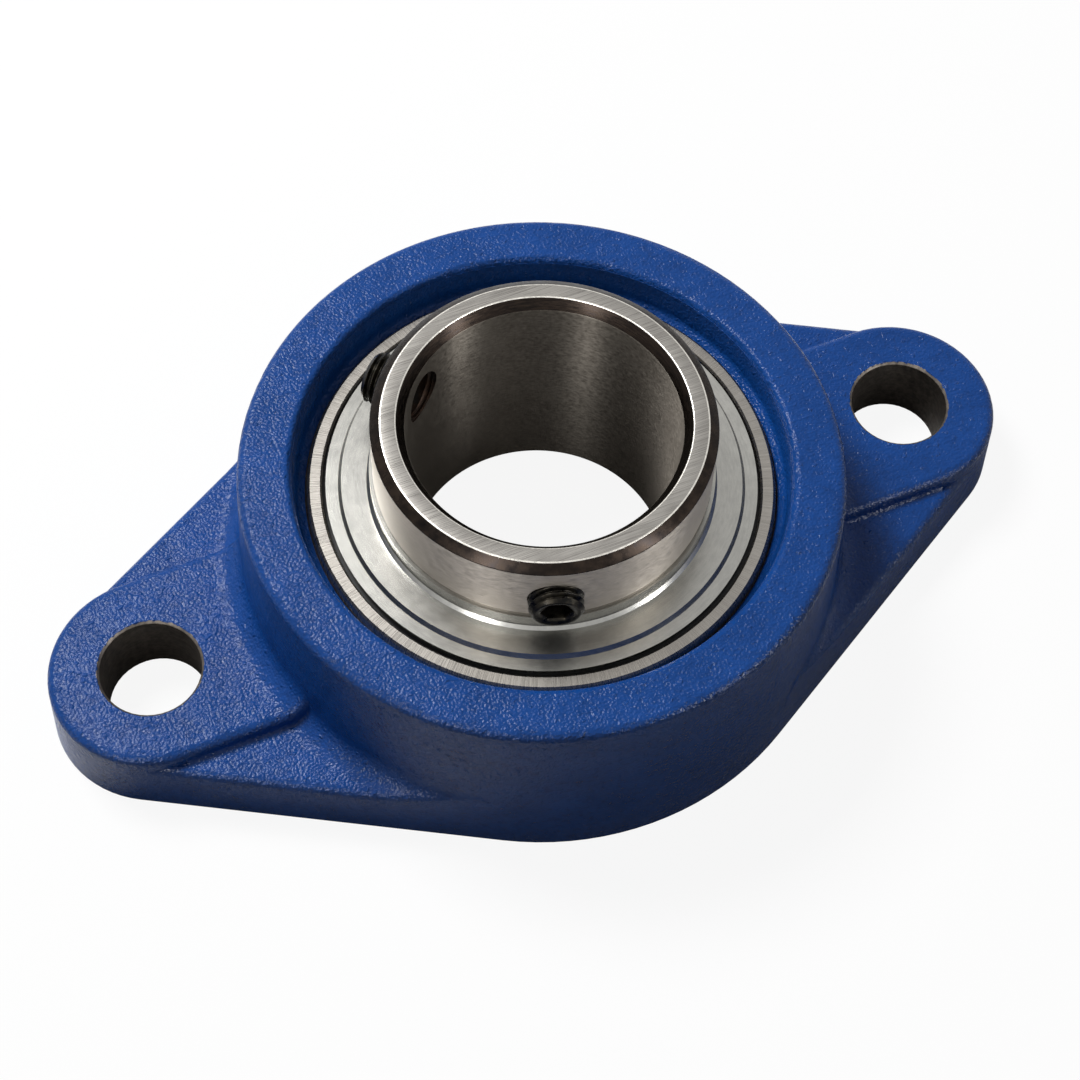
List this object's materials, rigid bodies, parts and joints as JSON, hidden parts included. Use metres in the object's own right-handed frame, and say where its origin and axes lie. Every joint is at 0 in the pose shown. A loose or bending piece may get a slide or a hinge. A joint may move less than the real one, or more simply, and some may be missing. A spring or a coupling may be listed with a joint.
{
  "type": "flange bearing unit",
  "caption": "Oval cast iron flange unit with a self-aligning ball bearing insert that set screws lock to the shaft.",
  "frame": {"origin": "on the mounting face, on the axis of the bore, midway between the two bolt holes", "axes": "+Z leaves the front of the housing along the bore, X runs through both bolt holes, +Y is the side of the grease nipple"},
  "size_m": [0.197, 0.1245, 0.0546],
  "materials": {
    "painted_casting": "blue enamel over as-cast iron, orange-peel texture",
    "ground_steel": "turned and ground bearing steel",
    "ball_steel": "polished bearing steel",
    "cage_steel": "pressed sheet",
    "flinger_steel": "pressed sheet with a circular brushed grain",
    "seal_rubber": "moulded, matt",
    "screw_steel": "black oxide",
    "nipple_steel": "zinc plated"
  },
  "bodies": {
    "housing": {"housing": "painted_casting", "grease_nipple": "nipple_steel", "nipple_spring": "nipple_steel"},
    "nipple_ball": {"nipple_ball": "nipple_steel"},
    "outer": {"outer_ring": "ground_steel", "seal_front": "seal_rubber", "seal_rear": "seal_rubber"},
    "inner": {"inner_ring": "ground_steel", "flinger_front": "flinger_steel", "flinger_rear": "flinger_steel"},
    "screw_1": {"set_screw_1": "screw_steel"},
    "screw_2": {"set_screw_2": "screw_steel"},
    "cage": {"cage_front": "cage_steel", "cage_rear": "cage_steel", "cage_rivets": "cage_steel"},
    "ball_01": {"ball_01": "ball_steel"},
    "ball_02": {"ball_02": "ball_steel"},
    "ball_03": {"ball_03": "ball_steel"},
    "ball_04": {"ball_04": "ball_steel"},
    "ball_05": {"ball_05": "ball_steel"},
    "ball_06": {"ball_06": "ball_steel"},
    "ball_07": {"ball_07": "ball_steel"},
    "ball_08": {"ball_08": "ball_steel"},
    "ball_09": {"ball_09": "ball_steel"},
    "ball_10": {"ball_10": "ball_steel"}
  },
  "joints": [
    {"name": "align_tilt", "type": "hinge", "parent": "housing", "child": "outer", "pos_m": [0, 0, 0.022], "axis": [1, 0, 0], "range_deg": [-3, 3]},
    {"name": "inner_spin", "type": "hinge", "parent": "outer", "child": "inner", "pos_m": [0, 0, 0.022], "axis": [0, 0, 1], "continuous": true},
    {"name": "cage_spin", "type": "hinge", "parent": "outer", "child": "cage", "pos_m": [0, 0, 0.022], "axis": [0, 0, 1], "continuous": true},
    {"name": "ball_01_spin", "type": "hinge", "parent": "cage", "child": "ball_01", "pos_m": [0.035, 0, 0.022], "axis": [0, 0, 1], "continuous": true},
    {"name": "ball_02_spin", "type": "hinge", "parent": "cage", "child": "ball_02", "pos_m": [0.02832, 0.02057, 0.022], "axis": [0, 0, 1], "continuous": true},
    {"name": "ball_03_spin", "type": "hinge", "parent": "cage", "child": "ball_03", "pos_m": [0.01082, 0.03329, 0.022], "axis": [0, 0, 1], "continuous": true},
    {"name": "ball_04_spin", "type": "hinge", "parent": "cage", "child": "ball_04", "pos_m": [-0.01082, 0.03329, 0.022], "axis": [0, 0, 1], "continuous": true},
    {"name": "ball_05_spin", "type": "hinge", "parent": "cage", "child": "ball_05", "pos_m": [-0.02832, 0.02057, 0.022], "axis": [0, 0, 1], "continuous": true},
    {"name": "ball_06_spin", "type": "hinge", "parent": "cage", "child": "ball_06", "pos_m": [-0.035, 0, 0.022], "axis": [0, 0, 1], "continuous": true},
    {"name": "ball_07_spin", "type": "hinge", "parent": "cage", "child": "ball_07", "pos_m": [-0.02832, -0.02057, 0.022], "axis": [0, 0, 1], "continuous": true},
    {"name": "ball_08_spin", "type": "hinge", "parent": "cage", "child": "ball_08", "pos_m": [-0.01082, -0.03329, 0.022], "axis": [0, 0, 1], "continuous": true},
    {"name": "ball_09_spin", "type": "hinge", "parent": "cage", "child": "ball_09", "pos_m": [0.01082, -0.03329, 0.022], "axis": [0, 0, 1], "continuous": true},
    {"name": "ball_10_spin", "type": "hinge", "parent": "cage", "child": "ball_10", "pos_m": [0.02832, -0.02057, 0.022], "axis": [0, 0, 1], "continuous": true},
    {"name": "screw_1_travel", "type": "slide", "parent": "inner", "child": "screw_1", "axis": [-0.6561, 0.7547, 0], "range_m": [-0.0023, 0.0033]},
    {"name": "screw_2_travel", "type": "slide", "parent": "inner", "child": "screw_2", "axis": [-0.3256, -0.9455, 0], "range_m": [-0.0012, 0.0045]},
    {"name": "nipple_check", "type": "slide", "parent": "housing", "child": "nipple_ball", "axis": [0, -1, 0], "range_m": [0, 0.0008], "stiffness_N_per_m": 1000, "deforming": ["nipple_spring"]}
  ],
  "couplings": [
    {"joint": "cage_spin", "follows": "inner_spin", "ratio": 0.40929},
    {"joint": "ball_01_spin", "follows": "inner_spin", "ratio": -2.6652},
    {"joint": "ball_02_spin", "follows": "inner_spin", "ratio": -2.6652},
    {"joint": "ball_03_spin", "follows": "inner_spin", "ratio": -2.6652},
    {"joint": "ball_04_spin", "follows": "inner_spin", "ratio": -2.6652},
    {"joint": "ball_05_spin", "follows": "inner_spin", "ratio": -2.6652},
    {"joint": "ball_06_spin", "follows": "inner_spin", "ratio": -2.6652},
    {"joint": "ball_07_spin", "follows": "inner_spin", "ratio": -2.6652},
    {"joint": "ball_08_spin", "follows": "inner_spin", "ratio": -2.6652},
    {"joint": "ball_09_spin", "follows": "inner_spin", "ratio": -2.6652},
    {"joint": "ball_10_spin", "follows": "inner_spin", "ratio": -2.6652}
  ]
}
